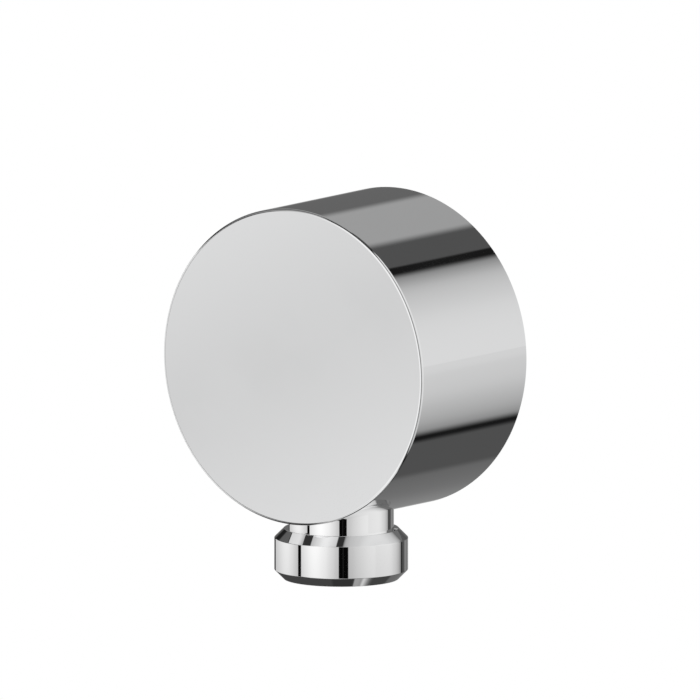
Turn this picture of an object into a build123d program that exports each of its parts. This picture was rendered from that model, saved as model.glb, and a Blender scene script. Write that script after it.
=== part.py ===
from build123d import *
import math
import os

# A round wall outlet elbow for a shower hose. Water comes out of the wall through the wall nipple, turns
# down inside the drum, passes the check valve in the outlet nipple and leaves into the hose below.
# Origin: centre of the drum's back face, which lies on the wall. The front looks along -Y, +Z is up.

# Drum, cast in brass, turned, polished and chromed
drum_d = 50.0
drum_depth = 28.0
front_rim_round = 0.45
back_rim_break = 0.1
shell_wall = 3.0
front_wall = 4.0
recess_corner = 1.5

# Parallel pipe thread G 1/2, used at the wall and at the hose: outside diameter over the crests, and the
# section of its turns
pipe_thread_d = 20.955
pipe_thread_pitch = 1.814
pipe_thread_depth = 1.162
pipe_thread_angle = 55.0

# Outlet stub under the drum
outlet_from_wall = 15.0
neck_d = 16.5
neck_drop = 2.0
hose_thread_length = 8.0
hose_thread_chamfer = 1.5
neck_sink = 2.5
neck_wall = 1.25
outlet_boss_wall = 2.2
bore_mouth_chamfer = 0.4

# Threaded tail of the outlet nipple, inside the drum
tail_shoulder = 0.75
tail_thread_length = 5.5
tail_seal_step = 0.5
tail_seal_length = 3.6
tail_edge_chamfer = 0.4
tail_way_wall = 0.9

# Wall nipple
wall_thread_length = 12.0
wall_thread_chamfer = 1.0
wall_thread_runout = 1.5
socket_d = 18.0
socket_boss_wall = 4.0
socket_boss_setback = 0.8
socket_mouth_chamfer = 0.5
spigot_land = 0.45
spigot_end_chamfer = 0.3
key_size = 12.0
key_depth = 8.0
wall_way_d = 11.0
chamber_step = 1.0
chamber_beyond_way = 0.75

# Locking screw M4 under the drum, behind the outlet, and the V groove that it bites into
screw_d = 4.0
screw_length = 8.0
screw_key = 2.0
screw_key_depth = 2.5
screw_tip_flat_d = 1.2
screw_hole_play = 0.3
screw_boss_wall = 1.0
lock_groove_depth = 1.1
lock_tip_gap = 0.15

# Sealing rings: round cords, drawn as squeezed between groove and bore
nipple_cord = 1.5
spigot_cord = 1.2
valve_cord = 1.2
squeezed_share = 0.84
groove_side_play = 0.15

# Wall gasket, a rubber ring in the back rim
gasket_width = 1.4
gasket_depth = 1.2

# Check valve cartridge in the outlet nipple
valve_length = 10.2
valve_bore_spare = 0.8
seat_ring_height = 2.85
seat_edge_chamfer = 0.5
valve_wall = 1.2
seat_overlap = 1.7
valve_lip_height = 0.35
valve_lip_grip = 0.2
guide_thickness = 1.5
guide_rim = 0.85
guide_hub_d = 4.6
guide_spokes = 4
guide_spoke_width = 0.9
poppet_margin = 1.0
poppet_head = 0.9
poppet_seal_thickness = 0.6
poppet_neck_d = 4.0
poppet_nose_d = 5.4
poppet_nose_height = 1.2
stem_d = 2.2
stem_in_guide = 1.0
spring_wire_d = 0.35
spring_mean_d = 3.5
spring_turns = 4

# Fits and clearances, radial or end to end
slip_fit = 0.05
thread_fit = 0.02
stem_fit = 0.08
ring_touch = 0.01
end_gap = 0.5
cut_past = 2.0

# Places worked out from the sizes above
drum_r = drum_d / 2
front_y = -drum_depth
outlet_y = -outlet_from_wall
neck_r = neck_d / 2
neck_hole_r = neck_r + slip_fit
thread_r = pipe_thread_d / 2
ledge_z = -(drum_r + neck_drop)
stub_end_z = ledge_z - hose_thread_length
neck_seat_z = -(drum_r - neck_sink)
tail_thread_r = neck_r - tail_shoulder
tail_thread_top_z = neck_seat_z + tail_thread_length
tail_seal_r = tail_thread_r - tail_seal_step
tail_top_z = tail_thread_top_z + tail_seal_length
seal_bore_r = tail_seal_r + slip_fit
socket_r = socket_d / 2
spigot_r = socket_r - slip_fit
screw_r = screw_d / 2
screw_y = (outlet_y + neck_hole_r) / 2
valve_bore_r = neck_r - neck_wall
valve_bore_top_z = stub_end_z + valve_length + valve_bore_spare
screw_tip = spigot_r - lock_groove_depth + lock_tip_gap + screw_tip_flat_d / 2
screw_end = screw_tip + screw_length
valve_r = valve_bore_r - slip_fit
cavity_r = valve_r - valve_wall
seat_r = cavity_r - seat_overlap
poppet_r = cavity_r - poppet_margin
valve_top_z = valve_bore_top_z - slip_fit
valve_bottom_z = valve_top_z - valve_length
seat_z = valve_top_z - seat_ring_height
valve_ring_z = valve_top_z - seat_ring_height / 2
seal_top_z = seat_z - slip_fit
head_top_z = seal_top_z - poppet_seal_thickness
head_bottom_z = head_top_z - poppet_head
guide_bottom_z = valve_bottom_z + valve_lip_height
guide_top_z = guide_bottom_z + guide_thickness
stem_end_z = guide_top_z - stem_in_guide


def squeezed_height(cord):
    """How high a round cord stands once it is squeezed in its groove."""
    return cord * squeezed_share


def squeezed_width(cord):
    """How wide the squeezed cord gets, its section keeping its area."""
    return cord * cord / squeezed_height(cord)


def groove_width(cord):
    return squeezed_width(cord) + 2 * groove_side_play


spigot_groove = groove_width(spigot_cord)
ring_a_y = screw_y - screw_r - spigot_land - spigot_groove / 2
ring_b_y = ring_a_y - spigot_groove - spigot_land
spigot_end_y = ring_b_y - spigot_groove / 2 - spigot_land
nipple_ring_z = (tail_thread_top_z + tail_top_z) / 2
tail_groove_r = seal_bore_r - squeezed_height(nipple_cord)
way_r = tail_groove_r - tail_way_wall


def turned_z(*profile):
    """A solid turned about the outlet's upright axis from (radius, height) points."""
    face = make_face(Polyline([(r, 0, z) for r, z in profile], close=True))
    return Pos(0, outlet_y, 0) * revolve(face, Axis.Z)


def turned_y(*profile):
    """A solid turned about the drum's axis from (radius, depth) points."""
    return revolve(make_face(Polyline([(r, y) for r, y in profile], close=True)), Axis.Y)


def drilled_z(radius, low, high):
    """An upright cylinder on the outlet's axis."""
    return turned_z((0, low), (radius, low), (radius, high), (0, high))


def screw_line(radius, near, far):
    """A cylinder on the locking screw's axis, between two distances below the drum's axis."""
    return Pos(0, screw_y, -(near + far) / 2) * Cylinder(radius, far - near)


def ring_section(inner_r, outer_r, cord, along):
    """A squeezed sealing ring's section: an oval that just clears the groove's floor and the bore."""
    tall = (outer_r - inner_r) / 2 - ring_touch
    wide = squeezed_width(cord) / 2
    middle = (inner_r + outer_r) / 2
    if along == "z":
        return Plane.XZ * Pos(middle, 0) * Ellipse(tall, wide)
    return Pos(middle, 0) * Ellipse(tall, wide)


def ring_on_outlet(bore_r, cord, height):
    section = ring_section(bore_r - squeezed_height(cord), bore_r, cord, "z")
    return Pos(0, outlet_y, height) * revolve(section, Axis.Z)


def ring_on_spigot(depth):
    section = ring_section(socket_r - squeezed_height(spigot_cord), socket_r, spigot_cord, "y")
    return Pos(0, depth, 0) * revolve(section, Axis.Y)


def drum_shell():
    """The drum's outside: plain front face, small rounded front rim, plain back edge."""
    shell = turned_y(
        (0, front_y),
        (drum_r, front_y),
        (drum_r, -back_rim_break),
        (drum_r - back_rim_break, 0),
        (0, 0),
    )
    return fillet(shell.edges().sort_by(Axis.Y)[0], front_rim_round)


def back_recess():
    """The ring-shaped hollow behind the front wall, less the bosses that cross it."""
    floor_y = front_y + front_wall
    inner_r = socket_r + socket_boss_wall
    outer_r = drum_r - shell_wall
    hollow = turned_y((inner_r, floor_y), (outer_r, floor_y), (outer_r, cut_past), (inner_r, cut_past))
    hollow = fillet(hollow.edges().group_by(Axis.Y)[0], recess_corner)
    outlet_boss = drilled_z(neck_hole_r + outlet_boss_wall, -drum_r, 0)
    screw_boss = screw_line(screw_r + screw_boss_wall, socket_r, drum_r)
    return hollow - outlet_boss - screw_boss


def boss_setback():
    """Sets everything inside the shell back from the wall, so that only the rim meets it."""
    inner_r = drum_r - shell_wall
    start_y = -socket_boss_setback
    return turned_y((0, start_y), (inner_r, start_y), (inner_r, cut_past), (0, cut_past))


def inlet_ways():
    """The socket for the wall nipple's spigot and the water chamber ahead of it."""
    stop_y = spigot_end_y - end_gap
    chamber_r = socket_r - chamber_step
    chamber_end_y = outlet_y - way_r - chamber_beyond_way
    mouth_y = -socket_boss_setback
    mouth_r = socket_r + socket_mouth_chamfer
    return turned_y(
        (0, chamber_end_y),
        (chamber_r, chamber_end_y),
        (chamber_r, stop_y),
        (socket_r, stop_y),
        (socket_r, mouth_y - socket_mouth_chamfer),
        (mouth_r, mouth_y),
        (mouth_r, cut_past),
        (0, cut_past),
    )


def outlet_ways():
    """The stepped hole from below: neck, tapped length, ring seat and the way up to the chamber."""
    tapped_r = tail_thread_r + thread_fit
    entry_z = -drum_r - cut_past
    seat_end_z = tail_top_z + end_gap
    return turned_z(
        (0, entry_z),
        (neck_hole_r, entry_z),
        (neck_hole_r, neck_seat_z),
        (tapped_r, neck_seat_z),
        (tapped_r, tail_thread_top_z),
        (seal_bore_r, tail_thread_top_z),
        (seal_bore_r, seat_end_z),
        (way_r, seat_end_z),
        (way_r, 0),
        (0, 0),
    )


def gasket_band(play):
    """The wall gasket's ring, or with no play the groove that it lies in."""
    middle_r = drum_r - shell_wall / 2
    inner_r = middle_r - gasket_width / 2 + play
    outer_r = middle_r + gasket_width / 2 - play
    floor_y = -gasket_depth + play
    return turned_y((inner_r, floor_y), (outer_r, floor_y), (outer_r, 0), (inner_r, 0))


def drum_body():
    drum = drum_shell() - back_recess() - boss_setback()
    drum -= inlet_ways()
    drum -= outlet_ways()
    drum -= screw_line(screw_r + thread_fit, spigot_r - cut_past, screw_end + end_gap)
    drum -= screw_line(screw_r + screw_hole_play, screw_end + end_gap, drum_r + cut_past)
    drum -= gasket_band(0)
    return drum


def outlet_nipple():
    """One turned piece: threaded tail, neck, hose thread with both ends chamfered, valve bore."""
    ring_half = groove_width(nipple_cord) / 2
    thread_chamfer_r = thread_r - hose_thread_chamfer
    return turned_z(
        (valve_bore_r + bore_mouth_chamfer, stub_end_z),
        (thread_chamfer_r, stub_end_z),
        (thread_r, stub_end_z + hose_thread_chamfer),
        (thread_r, ledge_z - hose_thread_chamfer),
        (thread_chamfer_r, ledge_z),
        (neck_r, ledge_z),
        (neck_r, neck_seat_z),
        (tail_thread_r, neck_seat_z),
        (tail_thread_r, tail_thread_top_z - tail_edge_chamfer),
        (tail_thread_r - tail_edge_chamfer, tail_thread_top_z),
        (tail_seal_r, tail_thread_top_z),
        (tail_seal_r, nipple_ring_z - ring_half),
        (tail_groove_r, nipple_ring_z - ring_half),
        (tail_groove_r, nipple_ring_z + ring_half),
        (tail_seal_r, nipple_ring_z + ring_half),
        (tail_seal_r, tail_top_z - tail_edge_chamfer),
        (tail_seal_r - tail_edge_chamfer, tail_top_z),
        (way_r, tail_top_z),
        (way_r, valve_bore_top_z),
        (valve_bore_r, valve_bore_top_z),
        (valve_bore_r, stub_end_z + bore_mouth_chamfer),
    )


def spigot_ring_groove(middle_y):
    floor_r = socket_r - squeezed_height(spigot_cord)
    low_y = middle_y - spigot_groove / 2
    high_y = middle_y + spigot_groove / 2
    past_r = socket_r + cut_past
    return turned_y((floor_r, low_y), (past_r, low_y), (past_r, high_y), (floor_r, high_y))


def wall_thread_grooves():
    """The wall thread's grooves, drawn as rings, from the chamfer back to the plain length at the wall."""
    slope = math.tan(math.radians(pipe_thread_angle / 2))
    flat = pipe_thread_pitch / 2 - pipe_thread_depth * slope
    threaded_to = wall_thread_length - wall_thread_chamfer
    floor_r = thread_r - pipe_thread_depth
    past_r = thread_r + cut_past
    past_half = flat / 2 + (pipe_thread_depth + cut_past) * slope
    grooves = []
    for turn in range(int((threaded_to - wall_thread_runout) / pipe_thread_pitch)):
        middle_y = threaded_to - flat / 2 - (turn + 0.5) * pipe_thread_pitch
        grooves.append(
            turned_y(
                (floor_r, middle_y - flat / 2),
                (past_r, middle_y - past_half),
                (past_r, middle_y + past_half),
                (floor_r, middle_y + flat / 2),
            )
        )
    return grooves


def wall_nipple():
    """One turned piece: pipe thread into the wall, smooth spigot with its grooves, key socket."""
    nipple = turned_y(
        (wall_way_d / 2, spigot_end_y),
        (spigot_r - spigot_end_chamfer, spigot_end_y),
        (spigot_r, spigot_end_y + spigot_end_chamfer),
        (spigot_r, 0),
        (thread_r, 0),
        (thread_r, wall_thread_length - wall_thread_chamfer),
        (thread_r - wall_thread_chamfer, wall_thread_length),
        (wall_way_d / 2, wall_thread_length),
    )
    lock_floor_r = spigot_r - lock_groove_depth
    nipple -= turned_y(
        (lock_floor_r, screw_y),
        (lock_floor_r + cut_past, screw_y - cut_past),
        (lock_floor_r + cut_past, screw_y + cut_past),
    )
    nipple -= spigot_ring_groove(ring_a_y)
    nipple -= spigot_ring_groove(ring_b_y)
    for groove in wall_thread_grooves():
        nipple -= groove
    key_hole = Plane.XZ * RegularPolygon(key_size / 2, 6, major_radius=False)
    return nipple - Pos(0, spigot_end_y + key_depth, 0) * extrude(key_hole, key_depth + cut_past)


def locking_screw():
    """A headless screw: cone tip up into the groove, key socket at its lower end."""
    tip_r = screw_tip_flat_d / 2
    shoulder = screw_tip + screw_r - tip_r
    profile = Polyline(
        (0, 0, -screw_tip),
        (tip_r, 0, -screw_tip),
        (screw_r, 0, -shoulder),
        (screw_r, 0, -screw_end),
        (0, 0, -screw_end),
        close=True,
    )
    screw = Pos(0, screw_y, 0) * revolve(make_face(profile), Axis.Z)
    key_hole = Pos(0, screw_y, -screw_end) * RegularPolygon(screw_key / 2, 6, major_radius=False)
    return screw - extrude(key_hole, screw_key_depth)


def valve_housing():
    """The cartridge's tube: thick seat ring at the top with a ring groove, snap lip at the bottom."""
    ring_half = groove_width(valve_cord) / 2
    groove_r = valve_bore_r - squeezed_height(valve_cord)
    lip_r = cavity_r - valve_lip_grip
    return turned_z(
        (seat_r + seat_edge_chamfer, valve_top_z),
        (valve_r, valve_top_z),
        (valve_r, valve_ring_z + ring_half),
        (groove_r, valve_ring_z + ring_half),
        (groove_r, valve_ring_z - ring_half),
        (valve_r, valve_ring_z - ring_half),
        (valve_r, valve_bottom_z),
        (lip_r, valve_bottom_z),
        (lip_r, guide_bottom_z - slip_fit),
        (cavity_r, guide_bottom_z - slip_fit),
        (cavity_r, seat_z),
        (seat_r, seat_z),
        (seat_r, valve_top_z - seat_edge_chamfer),
    )


def valve_guide():
    """The snapped-in spoked disc that guides the poppet's stem and carries the spring."""
    rim_r = cavity_r - slip_fit
    rim_inner_r = rim_r - guide_rim
    hub_r = guide_hub_d / 2
    hole_r = stem_d / 2 + stem_fit
    rim = turned_z(
        (rim_inner_r, guide_bottom_z),
        (rim_r, guide_bottom_z),
        (rim_r, guide_top_z),
        (rim_inner_r, guide_top_z),
    )
    hub = turned_z(
        (hole_r, guide_bottom_z), (hub_r, guide_bottom_z), (hub_r, guide_top_z), (hole_r, guide_top_z)
    )
    middle_z = (guide_bottom_z + guide_top_z) / 2
    overlap = guide_rim / 2
    length = rim_inner_r - hub_r + 2 * overlap
    guide = rim + hub
    for i in range(guide_spokes):
        spoke = Pos(hub_r - overlap + length / 2, 0, 0) * Box(length, guide_spoke_width, guide_thickness)
        guide += Pos(0, outlet_y, middle_z) * Rot(0, 0, i * 360 / guide_spokes) * spoke
    return guide


def valve_poppet():
    """Stem, head and the nose that holds the rubber ring on the head."""
    neck = poppet_neck_d / 2
    nose = poppet_nose_d / 2
    return turned_z(
        (0, stem_end_z),
        (stem_d / 2, stem_end_z),
        (stem_d / 2, head_bottom_z),
        (poppet_r, head_bottom_z),
        (poppet_r, head_top_z),
        (neck, head_top_z),
        (neck, seal_top_z),
        (nose, seal_top_z),
        (nose / 2, seal_top_z + poppet_nose_height),
        (0, seal_top_z + poppet_nose_height),
    )


def poppet_seal():
    inner_r = poppet_neck_d / 2 + thread_fit
    return turned_z(
        (inner_r, head_top_z), (poppet_r, head_top_z), (poppet_r, seal_top_z), (inner_r, seal_top_z)
    )


def valve_spring():
    """A round-wire coil between the guide's hub and the poppet's head."""
    half_wire = spring_wire_d / 2 + ring_touch
    low_z = guide_top_z + half_wire
    height = head_bottom_z - half_wire - low_z
    path = Helix(height / spring_turns, height, spring_mean_d / 2)
    start = Plane(origin=path @ 0, z_dir=path % 0)
    return Pos(0, outlet_y, low_z) * sweep(start * Circle(spring_wire_d / 2), path, is_frenet=True)


nodes = {
    "drum_body": drum_body(),
    "outlet_nipple": outlet_nipple(),
    "nipple_seal_ring": ring_on_outlet(seal_bore_r, nipple_cord, nipple_ring_z),
    "wall_nipple": wall_nipple(),
    "spigot_seal_ring_front": ring_on_spigot(ring_b_y),
    "spigot_seal_ring_back": ring_on_spigot(ring_a_y),
    "locking_screw": locking_screw(),
    "wall_gasket": gasket_band(slip_fit),
    "valve_housing": valve_housing(),
    "valve_guide": valve_guide(),
    "valve_poppet": valve_poppet(),
    "poppet_seal": poppet_seal(),
    "valve_spring": valve_spring(),
    "valve_seal_ring": ring_on_outlet(valve_bore_r, valve_cord, valve_ring_z),
}

os.makedirs("parts", exist_ok=True)
for name, shape in nodes.items():
    export_step(shape, f"parts/{name}.step")
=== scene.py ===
import math

import bpy
import numpy as np
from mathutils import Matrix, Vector


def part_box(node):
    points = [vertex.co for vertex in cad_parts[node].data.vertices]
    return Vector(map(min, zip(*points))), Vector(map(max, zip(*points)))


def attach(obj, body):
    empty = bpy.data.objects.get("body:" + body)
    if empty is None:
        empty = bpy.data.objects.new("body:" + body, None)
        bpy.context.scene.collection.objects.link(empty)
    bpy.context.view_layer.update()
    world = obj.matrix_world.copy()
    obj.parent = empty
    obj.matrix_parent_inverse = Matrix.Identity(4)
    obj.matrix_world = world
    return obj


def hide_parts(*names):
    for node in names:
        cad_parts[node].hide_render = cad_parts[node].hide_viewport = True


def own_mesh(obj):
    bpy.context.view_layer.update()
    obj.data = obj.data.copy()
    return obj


# The wall outlet elbow, dressed for its picture. Sizes are in millimetres; pieces are modelled in
# millimetres and brought to metres when they are finished. Depth runs from the wall to the front.
MM = 0.001
DRUM_STEPS = 384
STUB_STEPS = 240
SMALL_STEPS = 128
RING_STEPS = 24

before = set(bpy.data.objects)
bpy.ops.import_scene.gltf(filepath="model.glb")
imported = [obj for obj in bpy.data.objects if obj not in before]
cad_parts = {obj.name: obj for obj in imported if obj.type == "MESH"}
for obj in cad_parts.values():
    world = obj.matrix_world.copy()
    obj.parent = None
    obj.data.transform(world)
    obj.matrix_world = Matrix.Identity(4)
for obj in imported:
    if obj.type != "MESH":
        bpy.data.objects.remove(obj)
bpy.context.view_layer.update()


def box(node):
    """Lowest and highest corner of a node of the frame, in millimetres."""
    low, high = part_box(node)
    return low / MM, high / MM


def deselect():
    if bpy.context.object and bpy.context.object.mode != "OBJECT":
        bpy.ops.object.mode_set(mode="OBJECT")
    bpy.ops.object.select_all(action="DESELECT")


# Sizes read from the frame

drum_low, drum_high = box("drum_body")
stub_low, stub_high = box("outlet_nipple")
wall_low, wall_high = box("wall_nipple")
screw_low, screw_high = box("locking_screw")
gasket_low, gasket_high = box("wall_gasket")
housing_low, housing_high = box("valve_housing")
guide_low, guide_high = box("valve_guide")
poppet_low, poppet_high = box("valve_poppet")
seal_low, seal_high = box("poppet_seal")
spring_low, spring_high = box("valve_spring")

DRUM_RADIUS = drum_high.x
DRUM_DEPTH = -drum_low.y
OUTLET_Y = (stub_low.y + stub_high.y) / 2
THREAD_RADIUS = stub_high.x
STUB_END = stub_low.z
STUB_TOP = stub_high.z
SPIGOT_END = -wall_low.y
WALL_THREAD = wall_high.y
SCREW_Y = (screw_low.y + screw_high.y) / 2
SCREW_RADIUS = screw_high.x
GASKET_OUTER = gasket_high.x
GASKET_DEPTH = -gasket_low.y
VALVE_RADIUS = housing_high.x
VALVE_TOP = housing_high.z
VALVE_BOTTOM = housing_low.z
GUIDE_RADIUS = guide_high.x
GUIDE_TOP = guide_high.z
GUIDE_BOTTOM = guide_low.z
POPPET_RADIUS = poppet_high.x
SEAL_TOP = seal_high.z
SEAL_BOTTOM = seal_low.z

# How far a cutting tool reaches past the face it starts from
CUT_PAST = 2.0
# What a thread or a ring has round it
PLAY = 0.02

# Sizes of the drum

FRONT_ROUND = 0.45
BACK_BREAK = 0.1
SHELL_WALL = 3.0
FRONT_WALL = 4.0
RECESS_ROUND = 1.5
BOSS_SETBACK = 0.8
SOCKET_RADIUS = 9.0
SOCKET_BOSS = 13.0
SOCKET_CHAMFER = 0.5
CHAMBER_RADIUS = 8.0
CHAMBER_DEPTH = 20.64
SOCKET_SPARE = 0.5
OUTLET_BOSS_WALL = 2.2
SCREW_BOSS_WALL = 1.0
OUTLET_BOSS_SHORT = 2.0
SCREW_BOSS_SHORT = 0.6
SCREW_PLAY = 0.3
GASKET_GROOVE = 0.05
RUBBER_ROUND = 0.15
RIM_ROUND = 0.15

# Sizes of the outlet nipple

NECK_RADIUS = 8.25
NECK_HOLE = 8.3
LEDGE = -27.0
THREAD_CHAMFER = 1.5
NECK_SEAT = -22.5
TAIL_RADIUS = 7.5
TAIL_BORE = 7.52
TAIL_THREAD_TOP = -17.0
TAIL_SEAL_RADIUS = 7.0
SEAL_BORE = 7.05
TAIL_GROOVE_RADIUS = 5.79
TAIL_GROOVE_HALF = 1.043
WAY_RADIUS = 4.89
VALVE_BORE = 7.0
VALVE_BORE_TOP = -24.0
EDGE_BREAK = 0.4
TURNED_ROUND = 0.14
CRISP_ROUND = 0.055

# Sizes of the wall nipple and the locking screw

SPIGOT_RADIUS = 8.95
SPIGOT_CHAMFER = 0.3
SPIGOT_GROOVE_RADIUS = 7.992
SPIGOT_GROOVE_HALF = 0.864
WALL_WAY_RADIUS = 5.5
WALL_CHAMFER = 1.0
LOCK_GROOVE = 1.1
BRASS_ROUND = 0.3
KEY_WIDTH = 12.0
KEY_DEPTH = 8.0
SCREW_TIP_RADIUS = 0.6
SCREW_KEY = 2.0
SCREW_KEY_DEPTH = 2.5

# Threads: pitch and depth, then the flats' shares of a turn

PIPE_PITCH = 25.4 / 14
PIPE_DEPTH = 1.162
THREAD_RUNOUT = 2.7
TAIL_PITCH = 1.0
TAIL_THREAD_DEPTH = 0.55
SCREW_PITCH = 0.7
SCREW_THREAD_DEPTH = 0.4
CREST_SHARE = 0.166
ROOT_SHARE = 0.166
# How far a groove's outline stands out of its rod, and its steps in a turn
GROOVE_OVER = 0.03
PIPE_STEPS = 96
TAIL_STEPS = 72
SCREW_STEPS = 48

# Sizes of the check valve

CAVITY_RADIUS = 5.75
SEAT_RADIUS = 4.05
SEAT_HEIGHT = 2.85
SEAT_CHAMFER = 0.5
VALVE_GROOVE_RADIUS = 5.992
VALVE_GROOVE_HALF = 0.864
LIP_GRIP = 0.2
LIP_HEIGHT = 0.3
GUIDE_RIM = 0.85
GUIDE_HUB = 2.3
GUIDE_HOLE = 1.18
GUIDE_SPOKE = 0.9
SPOKE_SHY = 0.04
STEM_RADIUS = 1.1
POPPET_NECK = 2.0
POPPET_NOSE = 2.7
HEAD_HEIGHT = 0.9
POPPET_ROUND = 0.25
POPPET_FILLET = 0.2
NOSE_EDGE = 0.15
NOSE_ROUND = 0.3
SEAL_ROUND = 0.1
SPRING_WIRE = 0.175
SPRING_RADIUS = 1.75
SPRING_TURNS = 4
SPRING_STEPS = 48
MOULD_ROUND = 0.12
PARTING_LINE = 0.05

# How far each ring's oval reaches from its middle, out from the axis
SEAL_TALL = {
    "nipple_seal_ring": 0.62,
    "spigot_seal_ring_front": 0.494,
    "spigot_seal_ring_back": 0.494,
    "valve_seal_ring": 0.494,
}


# Modelling


def pick(piece, mode, test):
    """Selects the vertices, edges or faces whose corners pass a test, and opens the piece for editing."""
    deselect()
    piece.select_set(True)
    bpy.context.view_layer.objects.active = piece
    bpy.ops.object.mode_set(mode="EDIT")
    bpy.ops.mesh.select_mode(type=mode)
    bpy.ops.mesh.select_all(action="DESELECT")
    bpy.ops.object.mode_set(mode="OBJECT")
    mesh = piece.data
    places = np.array([v.co for v in mesh.vertices])
    if mode == "FACE":
        chosen = [test(places[list(f.vertices)]) for f in mesh.polygons]
        mesh.polygons.foreach_set("select", np.array(chosen, bool))
    elif mode == "EDGE":
        ends = np.array([e.vertices for e in mesh.edges])
        chosen = np.array([test(p) for p in places])
        mesh.edges.foreach_set("select", chosen[ends].all(axis=1))
    else:
        mesh.vertices.foreach_set("select", np.array([test(p) for p in places]))
    bpy.ops.object.mode_set(mode="EDIT")


def ring_at(radius, height, near=1e-3):
    """A test for points that lie on a circle round the upright axis."""
    return lambda p: abs(math.hypot(p[0], p[1]) - radius) < near and abs(p[2] - height) < near


def turned(name, corners, steps, rounds=(), closed=True):
    """A piece turned about the upright axis: a circle extruded from one (radius, height) to the next.

    Closed corners end where they started, as a tube's do; any others are filled at both ends.
    rounds gives (radius, height, fillet, segments) of the corners that are rounded.
    """
    deselect()
    radius, height = corners[0]
    bpy.ops.mesh.primitive_circle_add(vertices=steps, radius=radius, location=(0, 0, height))
    piece = bpy.context.object
    piece.name = name
    bpy.ops.object.transform_apply(location=True, rotation=True, scale=True)
    bpy.ops.object.mode_set(mode="EDIT")
    bpy.ops.mesh.select_all(action="SELECT")
    if not closed:
        bpy.ops.mesh.edge_face_add()
        bpy.ops.mesh.select_mode(type="EDGE")
    for next_radius, next_height in corners[1:] + (corners[:1] if closed else []):
        lift = (0, 0, next_height - height)
        bpy.ops.mesh.extrude_edges_move(TRANSFORM_OT_translate={"value": lift})
        share = next_radius / radius
        bpy.ops.transform.resize(value=(share, share, 1), center_override=(0, 0, next_height))
        radius, height = next_radius, next_height
    if not closed:
        bpy.ops.mesh.edge_face_add()
    bpy.ops.mesh.select_all(action="SELECT")
    bpy.ops.mesh.remove_doubles(threshold=1e-4)
    bpy.ops.mesh.normals_make_consistent(inside=False)
    for at_radius, at_height, fillet, segments in rounds:
        round_ring(piece, at_radius, at_height, fillet, segments)
    bpy.ops.object.mode_set(mode="OBJECT")
    return piece


def round_ring(piece, radius, height, fillet, segments):
    """Rounds a turned piece's corner. The fillet is how far it reaches along each side."""
    pick(piece, "EDGE", ring_at(radius, height))
    bpy.ops.mesh.bevel(offset=fillet, segments=segments, profile=0.5, clamp_overlap=False)


def stand_at(piece, y=0.0, z=0.0):
    """Moves an upright piece to its place."""
    deselect()
    piece.select_set(True)
    bpy.context.view_layer.objects.active = piece
    piece.location = (0, y, z)
    bpy.ops.object.transform_apply(location=True, rotation=True, scale=True)
    return piece


def face_forward(piece):
    """Lays an upright piece down, so that what was up points to the front, away from the wall."""
    deselect()
    piece.select_set(True)
    bpy.context.view_layer.objects.active = piece
    piece.rotation_euler = (math.radians(90), 0, 0)
    bpy.ops.object.transform_apply(location=True, rotation=True, scale=True)
    return piece


def combine(piece, tool, operation):
    """Cuts a tool out of a piece, or joins it on, and removes the tool."""
    deselect()
    modifier = piece.modifiers.new("shape", "BOOLEAN")
    modifier.operation = operation
    modifier.solver = "EXACT"
    modifier.object = tool
    bpy.context.view_layer.objects.active = piece
    bpy.ops.object.modifier_apply(modifier=modifier.name)
    bpy.data.objects.remove(tool)
    return piece


def cut(piece, tool):
    return combine(piece, tool, "DIFFERENCE")


def join(piece, tool):
    return combine(piece, tool, "UNION")


def rod(radius, low, high, steps=SMALL_STEPS):
    """An upright cylinder on the axis."""
    return turned("rod", [(radius, low), (radius, high)], steps, closed=False)


def hexagon(across, low, high):
    """An upright six-sided rod, for a key socket, with corners to the left and right."""
    deselect()
    bpy.ops.mesh.primitive_cylinder_add(
        vertices=6,
        radius=across / math.sqrt(3),
        depth=high - low,
        location=(0, 0, (low + high) / 2),
        rotation=(0, 0, math.radians(30)),
    )
    tool = bpy.context.object
    bpy.ops.object.transform_apply(location=True, rotation=True, scale=True)
    bpy.ops.object.mode_set(mode="EDIT")
    bpy.ops.mesh.select_all(action="SELECT")
    corner_round = across / 60
    bpy.ops.mesh.bevel(offset=corner_round, segments=2, clamp_overlap=True)
    bpy.ops.object.mode_set(mode="OBJECT")
    return tool


def wound(piece, pitch, turns, steps):
    """Sweeps a flat outline up a screw line about the upright axis, and closes both ends."""
    deselect()
    modifier = piece.modifiers.new("wind", "SCREW")
    modifier.axis = "Z"
    modifier.angle = 2 * math.pi * turns
    modifier.screw_offset = pitch * turns
    modifier.steps = modifier.render_steps = round(steps * turns)
    bpy.context.view_layer.objects.active = piece
    bpy.ops.object.modifier_apply(modifier=modifier.name)
    piece.select_set(True)
    bpy.ops.object.mode_set(mode="EDIT")
    bpy.ops.mesh.select_mode(type="EDGE")
    bpy.ops.mesh.select_all(action="DESELECT")
    bpy.ops.mesh.select_non_manifold(
        extend=False, use_wire=True, use_boundary=True, use_multi_face=False,
        use_non_contiguous=False, use_verts=False,
    )
    bpy.ops.mesh.edge_face_add()
    bpy.ops.mesh.select_all(action="SELECT")
    bpy.ops.mesh.normals_make_consistent(inside=False)
    bpy.ops.object.mode_set(mode="OBJECT")
    return piece


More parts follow.
